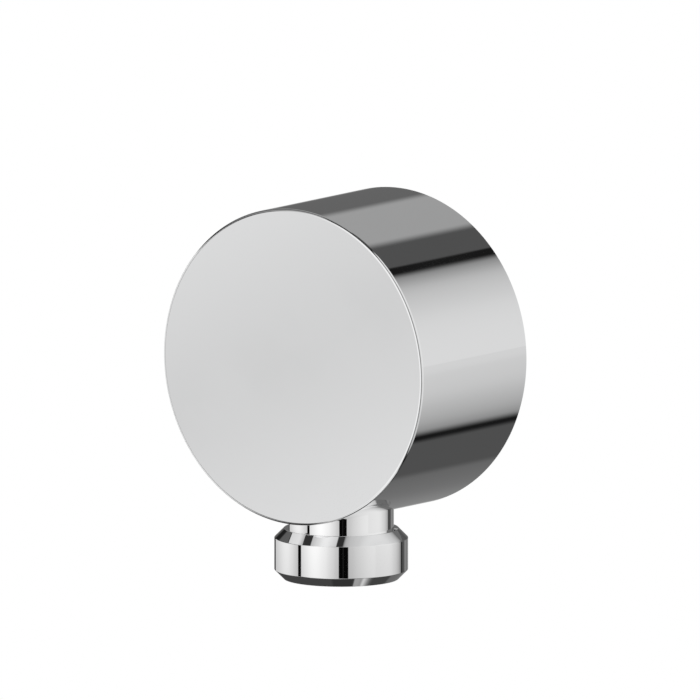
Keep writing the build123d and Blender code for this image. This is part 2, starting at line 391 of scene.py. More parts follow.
def thread_groove(radius, pitch, depth, low, high, steps):
    """The helical groove of a thread, to cut from a rod: a V with a flat root."""
    deep = depth + GROOVE_OVER
    crest = pitch * (1 - CREST_SHARE)
    root = pitch * ROOT_SHARE
    deselect()
    bpy.ops.mesh.primitive_plane_add(size=1, location=(0, 0, 0), rotation=(math.radians(90), 0, 0))
    groove = bpy.context.object
    groove.scale = (deep, root, 1)
    bpy.ops.object.transform_apply(location=True, rotation=True, scale=True)
    half = deep / 2
    pick(groove, "VERT", lambda p: p[0] > 0)
    bpy.ops.transform.resize(value=(1, 1, crest / root), center_override=(half, 0, 0))
    bpy.ops.mesh.select_all(action="SELECT")
    bpy.ops.transform.translate(value=(radius + GROOVE_OVER - half, 0, low))
    bpy.ops.mesh.delete(type="ONLY_FACE")
    bpy.ops.object.mode_set(mode="OBJECT")
    return wound(groove, pitch, (high - low) / pitch, steps)


def smooth(piece, angle=35):
    """Smooth shading that keeps sharp edges, with flat faces kept flat next to their rounded edges."""
    deselect()
    piece.select_set(True)
    bpy.context.view_layer.objects.active = piece
    bpy.ops.object.shade_smooth_by_angle(angle=math.radians(angle))
    modifier = piece.modifiers.new("normals", "WEIGHTED_NORMAL")
    modifier.keep_sharp = True
    bpy.ops.object.modifier_apply(modifier=modifier.name)


def finish(piece, node, body, material):
    """Brings a piece to metres, gives it its finish and lets it stand for its node.

    The smoothing comes first, because faces this small lose their weight in metres.
    """
    smooth(piece)
    deselect()
    piece.select_set(True)
    bpy.context.view_layer.objects.active = piece
    piece.scale = (MM, MM, MM)
    bpy.ops.object.transform_apply(location=True, rotation=True, scale=True)
    piece.name = node + "_finished"
    piece.data.name = piece.name
    piece.data.materials.clear()
    piece.data.materials.append(material)
    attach(piece, body)
    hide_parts(node)
    return piece


# Shader building


def add(tree, kind, **settings):
    node = tree.nodes.new(kind)
    for name, value in settings.items():
        setattr(node, name, value)
    return node


def feed(tree, socket, value):
    """Sets a socket to a number or vector, or links it."""
    if isinstance(value, bpy.types.NodeSocket):
        tree.links.new(value, socket)
    else:
        socket.default_value = value


def maths(tree, operation, *values, clamp=False):
    node = add(tree, "ShaderNodeMath", operation=operation, use_clamp=clamp)
    for socket, value in zip(node.inputs, values):
        feed(tree, socket, value)
    return node.outputs[0]


def dot(tree, vector, direction):
    node = add(tree, "ShaderNodeVectorMath", operation="DOT_PRODUCT")
    tree.links.new(vector, node.inputs[0])
    node.inputs[1].default_value = direction
    return node.outputs["Value"]


def rise(tree, value, low, high, to_low=0.0, to_high=1.0):
    """Goes smoothly from one level to another while the value goes from low to high."""
    node = add(tree, "ShaderNodeMapRange", interpolation_type="SMOOTHSTEP")
    for name, given in (("Value", value), ("From Min", low), ("From Max", high)):
        feed(tree, node.inputs[name], given)
    node.inputs["To Min"].default_value = to_low
    node.inputs["To Max"].default_value = to_high
    return node.outputs["Result"]


def profile(tree, value, low, high, stops):
    """A level that follows a few (share of the way, level) stops between low and high."""
    place = add(tree, "ShaderNodeMapRange")
    for name, given in (("Value", value), ("From Min", low), ("From Max", high)):
        feed(tree, place.inputs[name], given)
    ramp = add(tree, "ShaderNodeValToRGB")
    ramp.color_ramp.interpolation = "CARDINAL"
    marks = ramp.color_ramp.elements
    while len(marks) < len(stops):
        marks.new(0.5)
    for mark, (share, level) in zip(marks, sorted(stops)):
        mark.position = share
        mark.color = (level, level, level, 1)
    tree.links.new(place.outputs["Result"], ramp.inputs["Fac"])
    return ramp.outputs["Color"]


# The studio: flat cards round the part, seen only in its reflections


def compass(degrees):
    """The level direction at a bearing: 0 is the front, 90 the right, 180 the wall side."""
    a = math.radians(degrees)
    return Vector((math.sin(a), -math.cos(a), 0))


class Card:
    """A flat card that faces the part. across and up are tangents of the angle from its middle."""

    def __init__(self, tree, ray, towards, to_right, to_top):
        self.tree = tree
        ahead = maths(tree, "MAXIMUM", dot(tree, ray, towards), 1e-4)
        self.in_front = maths(tree, "GREATER_THAN", dot(tree, ray, towards), 1e-3)
        self.across = maths(tree, "DIVIDE", dot(tree, ray, to_right), ahead)
        self.up = maths(tree, "DIVIDE", dot(tree, ray, to_top), ahead)

    def patch(self, left, right, bottom, top, soft, lean=0.0):
        """1 inside a rectangle of the card, 0 outside. lean makes its lower edge rise to the right."""
        tree = self.tree
        mask = self.in_front
        leaning = maths(tree, "MULTIPLY_ADD", self.across, -lean, self.up) if lean else self.up
        for value, edge, side in (
            (self.across, left, 1), (self.across, right, -1), (leaning, bottom, 1), (self.up, top, -1),
        ):
            if edge is None:
                continue
            start, end = edge - soft / 2, edge + soft / 2
            edge_mask = rise(tree, value, start, end, (1 - side) / 2, (1 + side) / 2)
            mask = maths(tree, "MULTIPLY", mask, edge_mask)
        return mask


def lay(tree, below, mask, level):
    """Lays a level over what is below, where the mask is 1."""
    node = add(tree, "ShaderNodeMix", data_type="FLOAT")
    tree.links.new(mask, node.inputs["Factor"])
    feed(tree, node.inputs["A"], below)
    feed(tree, node.inputs["B"], level)
    return node.outputs["Result"]


# Levels of light, where 1 is a white card. Stops are (share of the way, level).

ROOM = 0.059
BLACK = 0.002
AMBIENT = 0.62

# Behind: a dim middle, pale wall patches above, a dim one below, and a strip of light between
MIDDLE = 0.082
WALL_BESIDE = 0.13
WALL_ABOVE = 0.35
WALL_BELOW = [(0, 0.12), (0.15, 0.14), (0.6, 0.185), (1, 0.25)]
STRIP = [
    (0, 0.1), (0.07, 0.25), (0.18, 0.19), (0.28, 0.28), (0.45, 0.5), (0.62, 0.3), (0.85, 0.1), (1, 0.06),
]
# Two dim patches in the gap between the right panel and the strip
GAP_ABOVE = 0.15
GAP_BELOW = 0.16
# The left panel, from its left to its right and from its bottom to its top, grey above it
LEFT_GREY = [(0, 0.1), (0.3, 0.14), (0.6, 0.26), (1, 0.45)]
LEFT_UNDER = 0.033
LEFT_EDGE = 0.013
LEFT_ACROSS = [
    (0, 0.62), (0.18, 0.68), (0.35, 0.8), (0.53, 0.87), (0.66, 0.81), (0.78, 0.72), (0.91, 0.62), (1, 0.57),
]
LEFT_UP = [(0, 0.62), (0.15, 0.84), (0.37, 1.05), (0.67, 1), (1, 0.98)]
# The right panel, a little darker below a line, differently at its near and its far end
RIGHT_EDGE = [(0, BLACK), (1, 0.01)]
RIGHT_ACROSS = [
    (0, 0.52), (0.1, 0.61), (0.22, 0.75), (0.4, 0.83), (0.53, 0.79), (0.66, 0.66), (0.82, 0.45), (1, 0.2),
]
RIGHT_FAR = [(0, 0.52), (0.25, 0.67), (0.6, 0.81), (0.85, 0.88), (0.9, 0.93), (1, 0.92)]
RIGHT_LINE_SLOPE = 0.0686
RIGHT_LINE_BASE = -0.159
RIGHT_NEAR = [(0, 0.57), (0.2, 0.68), (0.48, 0.775), (0.62, 0.83), (0.78, 0.95), (1, 0.93)]
# The front panel, and a thin gap of light in the black edge on its right
FRONT_GAP = 0.012
FRONT_ACROSS = [
    (0, 0.7), (0.1, 0.79), (0.24, 0.9), (0.4, 1), (0.56, 0.945), (0.71, 0.83), (0.88, 0.66), (1, 0.56),
]
# Under the part: a sheet of light that runs forwards, dark beside and behind it, and a streak
BESIDE_SHEET = 0.03
BEHIND_SHEET = 0.035
SHEET = [(0, 0.55), (0.2, 0.7), (0.35, 0.8), (0.5, 0.91), (0.7, 0.86), (1, 0.65)]
STREAK = [
    (0, 0.38), (0.2, 0.38), (0.34, 0.37), (0.45, 0.66), (0.58, 0.52), (0.72, 0.3), (0.86, 0.16), (1, 0.08),
]

UP = Vector((0, 0, 1))
SIDE_BEARING = 93


def studio_light(tree, ray):
    """What a reflected ray sees: three large soft panels with black edges in a dark room."""
    light = ROOM

    def standing(bearing):
        return Card(tree, ray, compass(bearing), compass(bearing + 90), UP)

    def over(mask, level):
        nonlocal light
        light = lay(tree, light, mask, level)

    behind = standing(180)
    left = standing(-SIDE_BEARING)
    front = standing(0)
    right = standing(SIDE_BEARING)
    below = Card(tree, ray, -UP, Vector((1, 0, 0)), Vector((0, 1, 0)))

    over(behind.patch(-0.6, 0.5, -0.9, None, 0.1), MIDDLE)
    over(behind.patch(0.36, 1.2, -0.1, 0.48, 0.12), WALL_BESIDE)
    over(behind.patch(0.055, 1.6, 0.48, None, 0.1), WALL_ABOVE)
    dim = profile(tree, behind.across, 0, 0.7, WALL_BELOW)
    over(behind.patch(0.05, 0.9, -0.87, -0.16, 0.09), dim)
    strip = profile(tree, behind.across, -0.1, 1.5, STRIP)
    over(behind.patch(-0.1, 1.4, -0.225, -0.085, 0.16, lean=-0.1), strip)

    grey = profile(tree, left.across, -0.4, 1.4, LEFT_GREY)
    over(left.patch(-0.5, 2.4, 0.4, 3, 0.1), grey)
    over(left.patch(-0.05, 0.85, -2.3, -0.9, 0.1), LEFT_UNDER)
    over(left.patch(-0.65, 1.4, -0.5, 0.4, 0.08), LEFT_EDGE)
    across = profile(tree, left.across, -0.49, 1.14, LEFT_ACROSS)
    upwards = profile(tree, left.up, -0.86, 0.2, LEFT_UP)
    glow = maths(tree, "MULTIPLY", across, upwards)
    over(left.patch(-0.503, 1.135, -0.85, 0.215, 0.03, lean=-0.3), glow)

    edge = profile(tree, right.across, 1, 2.4, RIGHT_EDGE)
    over(right.patch(-1.5, 3.5, -1.62, 4, 0.3), edge)
    across = profile(tree, right.across, -1.03, 2.72, RIGHT_ACROSS)
    far = profile(tree, right.up, -1.3, 0, RIGHT_FAR)
    near = profile(tree, right.up, -1.2, -0.12, RIGHT_NEAR)
    upwards = lay(tree, far, rise(tree, right.across, 0.6, 1.2, 1, 0), near)
    line = maths(tree, "MULTIPLY_ADD", right.across, RIGHT_LINE_SLOPE, RIGHT_LINE_BASE)
    under = maths(tree, "LESS_THAN", right.up, line)
    glow = maths(tree, "MULTIPLY", across, lay(tree, 1.0, under, upwards))
    panel = right.patch(-1.005, None, None, None, 0.06)
    for value, outside, inside in (
        (right.up, 3.7, 2.4), (right.up, -1.42, -1.13), (right.across, 2.88, 2.42),
    ):
        panel = maths(tree, "MULTIPLY", panel, rise(tree, value, outside, inside))
    over(panel, glow)
    over(behind.patch(-0.46, 0.15, -0.05, 0.32, 0.08), GAP_ABOVE)
    over(behind.patch(-0.34, 0.06, -0.6, -0.3, 0.1), GAP_BELOW)

    over(front.patch(-0.96, 1.1, None, 0.4, 0.03), BLACK)
    over(front.patch(-0.7, 1.1, 0.3, 1.35, 0.03), BLACK)
    over(front.patch(0.79, 0.84, -1, 1, 0.03), FRONT_GAP)
    glow = profile(tree, front.across, -0.77, 0.61, FRONT_ACROSS)
    over(front.patch(-0.775, 0.613, None, 1.1, 0.025), glow)

    over(below.patch(0.4, 0.77, -1.4, -0.06, 0.05), BESIDE_SHEET)
    sheet = profile(tree, below.across, -0.5, 0.5, SHEET)
    over(below.patch(-0.51, 0.49, -1.4, -0.06, 0.05), sheet)
    over(below.patch(-0.2, 0.03, 0.02, 0.25, 0.05), BEHIND_SHEET)
    streak = profile(tree, below.up, 0.26, 0.56, STREAK)
    over(below.patch(-0.05, 0.3, 0.258, 0.58, 0.02), streak)
    return light


def build_world():
    """White behind the picture, an even light for matt surfaces and the studio for mirrors."""
    world = bpy.data.worlds.new("studio")
    bpy.context.scene.world = world
    world.use_nodes = True
    tree = world.node_tree
    tree.nodes.clear()
    ray = add(tree, "ShaderNodeTexCoord").outputs["Generated"]
    path = add(tree, "ShaderNodeLightPath")
    seen = add(tree, "ShaderNodeBackground")
    seen.inputs["Color"].default_value = (1, 1, 1, 1)
    mirrored = add(tree, "ShaderNodeBackground")
    tree.links.new(studio_light(tree, ray), mirrored.inputs["Color"])
    ambient = add(tree, "ShaderNodeBackground")
    ambient.inputs["Color"].default_value = (1, 1, 1, 1)
    ambient.inputs["Strength"].default_value = AMBIENT
    lit = add(tree, "ShaderNodeMixShader")
    tree.links.new(path.outputs["Is Glossy Ray"], lit.inputs["Fac"])
    tree.links.new(ambient.outputs[0], lit.inputs[1])
    tree.links.new(mirrored.outputs[0], lit.inputs[2])
    direct = maths(tree, "MAXIMUM", path.outputs["Is Camera Ray"], path.outputs["Is Transmission Ray"])
    whole = add(tree, "ShaderNodeMixShader")
    tree.links.new(direct, whole.inputs["Fac"])
    tree.links.new(lit.outputs[0], whole.inputs[1])
    tree.links.new(seen.outputs[0], whole.inputs[2])
    output = add(tree, "ShaderNodeOutputWorld")
    tree.links.new(whole.outputs[0], output.inputs["Surface"])


# Materials

# Painted light on the stub: its chrome's colour by its height in metres, level = height * slope + base, up
# to 1
STUB_PAINTED_LIGHT_SLOPE = 16.5
STUB_PAINTED_LIGHT_BASE = 1.429
# A wave texture at scale 1 repeats after this length
WAVE_LENGTH = 0.314
# Heights of the surfaces' bumps, in metres
CAST_BUMP = 0.00004
FINE_BUMP = 0.00001
# The cast finish of the drum's inside fades in between these depths, from its side and its face
CAST_FROM_SIDE = (0.8, 0.9)
CAST_FROM_FACE = (1, 2)


def new_material(name):
    material = bpy.data.materials.new(name)
    material.use_nodes = True
    tree = material.node_tree
    shader = tree.nodes["Principled BSDF"]
    place = add(tree, "ShaderNodeTexCoord").outputs["Object"]
    return material, tree, shader, place


def grain(tree, place, scale, detail=2.0):
    """Fine even noise, by the metre."""
    node = add(tree, "ShaderNodeTexNoise")
    tree.links.new(place, node.inputs["Vector"])
    node.inputs["Scale"].default_value = scale
    node.inputs["Detail"].default_value = detail
    return node.outputs["Fac"]


def bump(tree, shader, height, strength, distance):
    node = add(tree, "ShaderNodeBump")
    tree.links.new(height, node.inputs["Height"])
    node.inputs["Strength"].default_value = strength
    node.inputs["Distance"].default_value = distance
    tree.links.new(node.outputs["Normal"], shader.inputs["Normal"])


def tint(tree, value, dark, light):
    """A colour between two, by a value from 0 to 1."""
    node = add(tree, "ShaderNodeMix", data_type="RGBA")
    feed(tree, node.inputs["Factor"], value)
    node.inputs["A"].default_value = (*dark, 1)
    node.inputs["B"].default_value = (*light, 1)
    return node.outputs["Result"]


def chrome(name, cast_inside):
    """Polished chrome. A casting's hidden hollow is plated but not polished; chrome without a cast inside
    has painted light, its colour paler upwards.
    """
    material, tree, shader, place = new_material(name)
    shader.inputs["Metallic"].default_value = 1.0
    haze = grain(tree, place, 90.0)
    polish = rise(tree, haze, 0.3, 0.7, 0.02, 0.045)
    colour = tint(tree, haze, (0.915, 0.918, 0.922), (0.925, 0.928, 0.932))
    split = add(tree, "ShaderNodeSeparateXYZ")
    tree.links.new(place, split.inputs[0])
    x, y, z = split.outputs
    if not cast_inside:
        # Painted light: the stub's colour is painted paler upwards and darker towards its bottom, for the
        # light it picks up from the drum above it
        painted_light = maths(tree, "MULTIPLY_ADD", z, STUB_PAINTED_LIGHT_SLOPE, STUB_PAINTED_LIGHT_BASE, clamp=True)
        colour = tint(tree, painted_light, (0, 0, 0), (1, 1, 1))
    else:
        squares = maths(tree, "ADD", maths(tree, "MULTIPLY", x, x), maths(tree, "MULTIPLY", z, z))
        radius = maths(tree, "SQRT", squares)
        thin, thick = CAST_FROM_SIDE
        within = rise(tree, radius, (DRUM_RADIUS - thick) * MM, (DRUM_RADIUS - thin) * MM, 1.0, 0.0)
        thin, thick = CAST_FROM_FACE
        behind_face = rise(tree, y, (-DRUM_DEPTH + thin) * MM, (-DRUM_DEPTH + thick) * MM)
        hollow = maths(tree, "MULTIPLY", within, behind_face)
        sand = grain(tree, place, 2600.0, 4.0)
        polish = lay(tree, polish, hollow, rise(tree, sand, 0.2, 0.8, 0.24, 0.42))
        mixed = add(tree, "ShaderNodeMix", data_type="RGBA")
        tree.links.new(hollow, mixed.inputs["Factor"])
        tree.links.new(colour, mixed.inputs["A"])
        mixed.inputs["B"].default_value = (0.62, 0.625, 0.63, 1)
        colour = mixed.outputs["Result"]
        bump(tree, shader, maths(tree, "MULTIPLY", sand, hollow), 0.5, CAST_BUMP)
    tree.links.new(colour, shader.inputs["Base Color"])
    tree.links.new(polish, shader.inputs["Roughness"])
    return material


def turned_metal(name, dark, light, rough, axis, feed_mark):
    """Bright turned metal: fine rings left by the tool along an axis, a little mottled."""
    material, tree, shader, place = new_material(name)
    shader.inputs["Metallic"].default_value = 1.0
    mottle = grain(tree, place, 320.0, 4.0)
    tree.links.new(tint(tree, mottle, dark, light), shader.inputs["Base Color"])
    wave = add(tree, "ShaderNodeTexWave", wave_type="BANDS", bands_direction=axis)
    tree.links.new(place, wave.inputs["Vector"])
    wave.inputs["Scale"].default_value = WAVE_LENGTH / (feed_mark * MM)
    wave.inputs["Distortion"].default_value = 0.6
    wave.inputs["Detail"].default_value = 1.0
    roughness = rise(tree, mottle, 0.25, 0.75, rough * 0.8, rough * 1.25)
    tree.links.new(roughness, shader.inputs["Roughness"])
    bump(tree, shader, wave.outputs["Fac"], 0.25, FINE_BUMP)
    return material


def rubber(name, colour, rough):
    material, tree, shader, place = new_material(name)
    bloom = grain(tree, place, 700.0, 3.0)
    pale = tuple(min(1.0, c * 1.5 + 0.004) for c in colour)
    tree.links.new(tint(tree, bloom, colour, pale), shader.inputs["Base Color"])
    roughness = rise(tree, bloom, 0.3, 0.7, rough * 0.85, min(1.0, rough * 1.15))
    tree.links.new(roughness, shader.inputs["Roughness"])
    shader.inputs["Specular IOR Level"].default_value = 0.4
    bump(tree, shader, grain(tree, place, 6000.0), 0.3, FINE_BUMP)
    return material


def moulded_plastic(name, colour):
    material, tree, shader, place = new_material(name)
    cloud = grain(tree, place, 400.0, 2.0)
    deep = tuple(c * 0.94 for c in colour)
    tree.links.new(tint(tree, cloud, deep, colour), shader.inputs["Base Color"])
    tree.links.new(rise(tree, cloud, 0.3, 0.7, 0.34, 0.46), shader.inputs["Roughness"])
    shader.inputs["Subsurface Weight"].default_value = 0.12
    shader.inputs["Subsurface Radius"].default_value = (0.0012, 0.0011, 0.001)
    bump(tree, shader, grain(tree, place, 4500.0, 3.0), 0.2, FINE_BUMP)
    return material


# Pieces


def make_drum(material):
    """The cast drum: turned outside, hollow behind with bosses across it, bored from back and below."""
    groove_outer = GASKET_OUTER + GASKET_GROOVE
    groove_inner = 2 * (DRUM_RADIUS - SHELL_WALL / 2) - groove_outer
    groove_floor = GASKET_DEPTH + GASKET_GROOVE
    inner = DRUM_RADIUS - SHELL_WALL
    floor = DRUM_DEPTH - FRONT_WALL
    bands = 6
    side = [(DRUM_RADIUS, DRUM_DEPTH * (bands - i) / bands) for i in range(1, bands)]
    drum = turned(
        "drum",
        [
            (DRUM_RADIUS, DRUM_DEPTH),
            *side,
            (DRUM_RADIUS, BACK_BREAK),
            (DRUM_RADIUS - BACK_BREAK, 0),
            (groove_outer, 0),
            (groove_outer, groove_floor),
            (groove_inner, groove_floor),
            (groove_inner, 0),
            (inner, 0),
            (inner, floor),
            (SOCKET_BOSS, floor),
            (SOCKET_BOSS, BOSS_SETBACK),
        ],
        DRUM_STEPS,
        [
            (DRUM_RADIUS, DRUM_DEPTH, FRONT_ROUND, 12),
            (inner, 0, RIM_ROUND, 2),
            (inner, floor, RECESS_ROUND, 6),
            (SOCKET_BOSS, floor, RECESS_ROUND, 6),
            (SOCKET_BOSS, BOSS_SETBACK, EDGE_BREAK, 3),
        ],
        closed=False,
    )
    face_forward(drum)
    boss_end = -(DRUM_RADIUS - SHELL_WALL / 6)
    outlet_boss = rod(
        NECK_HOLE + OUTLET_BOSS_WALL, boss_end + OUTLET_BOSS_SHORT, -CUT_PAST / 2, STUB_STEPS
    )
    join(drum, stand_at(outlet_boss, OUTLET_Y))
    screw_boss = rod(SCREW_RADIUS + SCREW_BOSS_WALL, boss_end + SCREW_BOSS_SHORT, -SOCKET_RADIUS)
    stand_at(screw_boss, SCREW_Y)
    pick(screw_boss, "FACE", lambda p: True)
    bpy.ops.mesh.bisect(
        plane_co=(0, -BOSS_SETBACK, 0), plane_no=(0, 1, 0),
        use_fill=True, clear_outer=True, threshold=1e-5,
    )
    bpy.ops.object.mode_set(mode="OBJECT")
    join(drum, screw_boss)
    stop = SPIGOT_END + SOCKET_SPARE
    inlet = turned(
        "inlet",
        [
            (CHAMBER_RADIUS, CHAMBER_DEPTH),
            (CHAMBER_RADIUS, stop),
            (SOCKET_RADIUS, stop),
            (SOCKET_RADIUS, BOSS_SETBACK + SOCKET_CHAMFER),
            (SOCKET_RADIUS + SOCKET_CHAMFER, BOSS_SETBACK),
            (SOCKET_RADIUS + SOCKET_CHAMFER, -CUT_PAST),
        ],
        STUB_STEPS,
        closed=False,
    )
    cut(drum, face_forward(inlet))
    outlet = turned(
        "outlet",
        [
            (NECK_HOLE, -DRUM_RADIUS - CUT_PAST),
            (NECK_HOLE, NECK_SEAT),
            (TAIL_BORE, NECK_SEAT),
            (TAIL_BORE, TAIL_THREAD_TOP),
            (SEAL_BORE, TAIL_THREAD_TOP),
            (SEAL_BORE, STUB_TOP + SOCKET_SPARE),
            (WAY_RADIUS, STUB_TOP + SOCKET_SPARE),
            (WAY_RADIUS, CUT_PAST / 4),
        ],
        STUB_STEPS,
        closed=False,
    )
    cut(drum, stand_at(outlet, OUTLET_Y))
    key_way = turned(
        "key_way",
        [
            (SCREW_RADIUS + SCREW_PLAY, -DRUM_RADIUS - CUT_PAST),
            (SCREW_RADIUS + SCREW_PLAY, screw_low.z - SOCKET_SPARE),
            (SCREW_RADIUS + PLAY, screw_low.z - SOCKET_SPARE),
            (SCREW_RADIUS + PLAY, -SOCKET_RADIUS + CUT_PAST),
        ],
        SMALL_STEPS,
        closed=False,
    )
    cut(drum, stand_at(key_way, SCREW_Y))
    return finish(drum, "drum_body", "fitting", material)


def make_outlet_nipple(material):
    """The turned stub: hose end with both ends chamfered, neck, threaded tail with a ring groove."""
    ring_low, ring_high = box("nipple_seal_ring")
    ring_z = (ring_low.z + ring_high.z) / 2
    chamfered = THREAD_RADIUS - THREAD_CHAMFER
    nipple = turned(
        "nipple",
        [
            (VALVE_BORE + EDGE_BREAK, STUB_END),
            (chamfered, STUB_END),
            (THREAD_RADIUS, STUB_END + THREAD_CHAMFER),
            (THREAD_RADIUS, LEDGE - THREAD_CHAMFER),
            (chamfered, LEDGE),
            (NECK_RADIUS, LEDGE),
            (NECK_RADIUS, NECK_SEAT),
            (TAIL_RADIUS, NECK_SEAT),
            (TAIL_RADIUS, TAIL_THREAD_TOP - EDGE_BREAK),
            (TAIL_RADIUS - EDGE_BREAK, TAIL_THREAD_TOP),
            (TAIL_SEAL_RADIUS, TAIL_THREAD_TOP),
            (TAIL_SEAL_RADIUS, ring_z - TAIL_GROOVE_HALF),
            (TAIL_GROOVE_RADIUS, ring_z - TAIL_GROOVE_HALF),
            (TAIL_GROOVE_RADIUS, ring_z + TAIL_GROOVE_HALF),
            (TAIL_SEAL_RADIUS, ring_z + TAIL_GROOVE_HALF),
            (TAIL_SEAL_RADIUS, STUB_TOP - EDGE_BREAK),
            (TAIL_SEAL_RADIUS - EDGE_BREAK, STUB_TOP),
            (WAY_RADIUS, STUB_TOP),
            (WAY_RADIUS, VALVE_BORE_TOP),
            (VALVE_BORE, VALVE_BORE_TOP),
            (VALVE_BORE, STUB_END + EDGE_BREAK),
        ],
        STUB_STEPS,
        [
            (chamfered, STUB_END, TURNED_ROUND / 2, 4),
            (THREAD_RADIUS, STUB_END + THREAD_CHAMFER, CRISP_ROUND, 6),
            (THREAD_RADIUS, LEDGE - THREAD_CHAMFER, CRISP_ROUND, 6),
            (chamfered, LEDGE, TURNED_ROUND / 2, 4),
        ],
    )
    groove = thread_groove(
        TAIL_RADIUS, TAIL_PITCH, TAIL_THREAD_DEPTH,
        NECK_SEAT + TAIL_PITCH * 0.6, TAIL_THREAD_TOP + TAIL_PITCH, TAIL_STEPS,
    )
    cut(nipple, groove)
    stand_at(nipple, OUTLET_Y)
    return finish(nipple, "outlet_nipple", "fitting", material)


def make_wall_nipple(material):
    """The brass nipple: pipe thread for the wall, smooth spigot with its grooves, key socket inside."""
    grooves = []
    for node in ("spigot_seal_ring_back", "spigot_seal_ring_front"):
        low, high = box(node)
        middle = -(low.y + high.y) / 2
        grooves += [
            (SPIGOT_RADIUS, middle - SPIGOT_GROOVE_HALF),
            (SPIGOT_GROOVE_RADIUS, middle - SPIGOT_GROOVE_HALF),
            (SPIGOT_GROOVE_RADIUS, middle + SPIGOT_GROOVE_HALF),
            (SPIGOT_RADIUS, middle + SPIGOT_GROOVE_HALF),
        ]
    nipple = turned(
        "wall_nipple",
        [
            (WALL_WAY_RADIUS, -WALL_THREAD),
            (THREAD_RADIUS - WALL_CHAMFER, -WALL_THREAD),
            (THREAD_RADIUS, -WALL_THREAD + WALL_CHAMFER),
            (THREAD_RADIUS, 0),
            (SPIGOT_RADIUS, 0),
            (SPIGOT_RADIUS, -SCREW_Y - LOCK_GROOVE),
            (SPIGOT_RADIUS - LOCK_GROOVE, -SCREW_Y),
            (SPIGOT_RADIUS, -SCREW_Y + LOCK_GROOVE),
            *grooves,
            (SPIGOT_RADIUS, SPIGOT_END - SPIGOT_CHAMFER),
            (SPIGOT_RADIUS - SPIGOT_CHAMFER, SPIGOT_END),
            (WALL_WAY_RADIUS, SPIGOT_END),
        ],
        STUB_STEPS,
        [(THREAD_RADIUS, 0, BRASS_ROUND, 2), (WALL_WAY_RADIUS, -WALL_THREAD, BRASS_ROUND, 2)],
    )
    groove = thread_groove(
        THREAD_RADIUS, PIPE_PITCH, PIPE_DEPTH,
        -WALL_THREAD - PIPE_PITCH, -THREAD_RUNOUT, PIPE_STEPS,
    )
    cut(nipple, groove)
    cut(nipple, hexagon(KEY_WIDTH, -WALL_THREAD - CUT_PAST / 2, SPIGOT_END - KEY_DEPTH))
    face_forward(nipple)
    return finish(nipple, "wall_nipple", "fitting", material)


def make_locking_screw(material):
    """The headless screw: flat-nosed cone above, key socket below."""
    shoulder = screw_high.z - (SCREW_RADIUS - SCREW_TIP_RADIUS)
    screw = turned(
        "screw",
        [
            (SCREW_TIP_RADIUS, screw_high.z),
            (SCREW_RADIUS, shoulder),
            (SCREW_RADIUS, screw_low.z + EDGE_BREAK),
            (SCREW_RADIUS - EDGE_BREAK, screw_low.z),
        ],
        SMALL_STEPS,
        closed=False,
    )
    groove = thread_groove(
        SCREW_RADIUS, SCREW_PITCH, SCREW_THREAD_DEPTH,
        screw_low.z - SCREW_PITCH, shoulder, SCREW_STEPS,
    )
    cut(screw, groove)
    cut(screw, hexagon(SCREW_KEY, screw_low.z - CUT_PAST / 2, screw_low.z + SCREW_KEY_DEPTH))
    stand_at(screw, SCREW_Y)
    return finish(screw, "locking_screw", "fitting", material)


def make_seal_ring(node, material, lying):
    """A round cord ring as squeezed in its groove, with the mould's fine parting line round it."""
    low, high = box(node)
    across = (high - low) / 2
    outer = across.x
    half_width = across.y if lying else across.z
    tall = SEAL_TALL[node]
    deselect()
    bpy.ops.mesh.primitive_torus_add(
        major_radius=outer - tall, minor_radius=tall,
        major_segments=SMALL_STEPS, minor_segments=RING_STEPS,
    )
    ring = bpy.context.object
    ring.scale = (1, 1, half_width / tall)
    bpy.ops.object.transform_apply(location=True, rotation=True, scale=True)
    pick(ring, "EDGE", lambda p: abs(p[2]) < 1e-4 and math.hypot(p[0], p[1]) < outer - tall)
    bpy.ops.mesh.bevel(offset=PARTING_LINE, segments=2, profile=1.0, clamp_overlap=True)
    bpy.ops.object.mode_set(mode="OBJECT")
    middle = (low + high) / 2
    if lying:
        face_forward(ring)
    stand_at(ring, middle.y, middle.z)
    return finish(ring, node, "fitting", material)


def make_gasket(material):
    """The flat rubber ring in the back rim, its four edges eased."""
    inner = 2 * (DRUM_RADIUS - SHELL_WALL / 2) - GASKET_OUTER
    corners = [(inner, 0), (GASKET_OUTER, 0), (GASKET_OUTER, GASKET_DEPTH), (inner, GASKET_DEPTH)]
    gasket = turned("gasket", corners, DRUM_STEPS, [(r, h, RUBBER_ROUND, 3) for r, h in corners])
    face_forward(gasket)
    return finish(gasket, "wall_gasket", "fitting", material)


